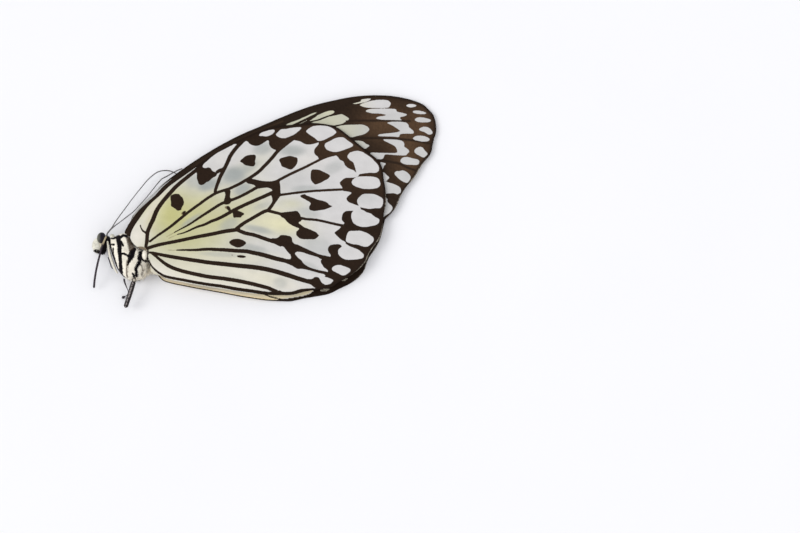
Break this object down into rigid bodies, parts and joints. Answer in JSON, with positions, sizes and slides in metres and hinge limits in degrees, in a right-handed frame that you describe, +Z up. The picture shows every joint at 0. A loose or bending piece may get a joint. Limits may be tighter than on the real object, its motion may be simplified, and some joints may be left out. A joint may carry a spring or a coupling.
{
  "type": "dried butterfly specimen",
  "caption": "Loose dried butterfly lying on its side with wings folded together, pale with black veins and spots, for display or study.",
  "frame": {"origin": "centre of the bounding box's bottom, on the ground the specimen lies on", "axes": "+X from the head to the wing tips, +Y from the belly towards the front edge of the wings, +Z up, away from the ground"},
  "size_m": [0.0738, 0.0498, 0.0053],
  "materials": {
    "left_hindwing": "matt, scaled",
    "left_forewing": "matt, scaled",
    "right_forewing": "matt, scaled",
    "right_hindwing": "matt, scaled",
    "thorax": "short fur",
    "abdomen": "short fur",
    "head": "satin",
    "left_eye": "glossy",
    "right_eye": "glossy",
    "left_palp": "short fur",
    "right_palp": "short fur",
    "forelegs": "satin",
    "left_antenna": "satin",
    "right_antenna": "satin",
    "left_mid_femur": "satin",
    "left_mid_tibia": "satin",
    "right_mid_tibia": "satin",
    "left_hind_femur": "satin",
    "right_hind_tibia": "satin"
  },
  "bodies": {
    "root": {"left_hindwing": "left_hindwing", "left_forewing": "left_forewing", "right_forewing": "right_forewing", "right_hindwing": "right_hindwing", "thorax": "thorax", "abdomen": "abdomen", "head": "head", "left_eye": "left_eye", "right_eye": "right_eye", "left_palp": "left_palp", "right_palp": "right_palp", "forelegs": "forelegs", "left_antenna": "left_antenna", "right_antenna": "right_antenna", "left_mid_femur": "left_mid_femur", "left_mid_tibia": "left_mid_tibia", "right_mid_tibia": "right_mid_tibia", "left_hind_femur": "left_hind_femur", "right_hind_tibia": "right_hind_tibia"}
  },
  "joints": []
}
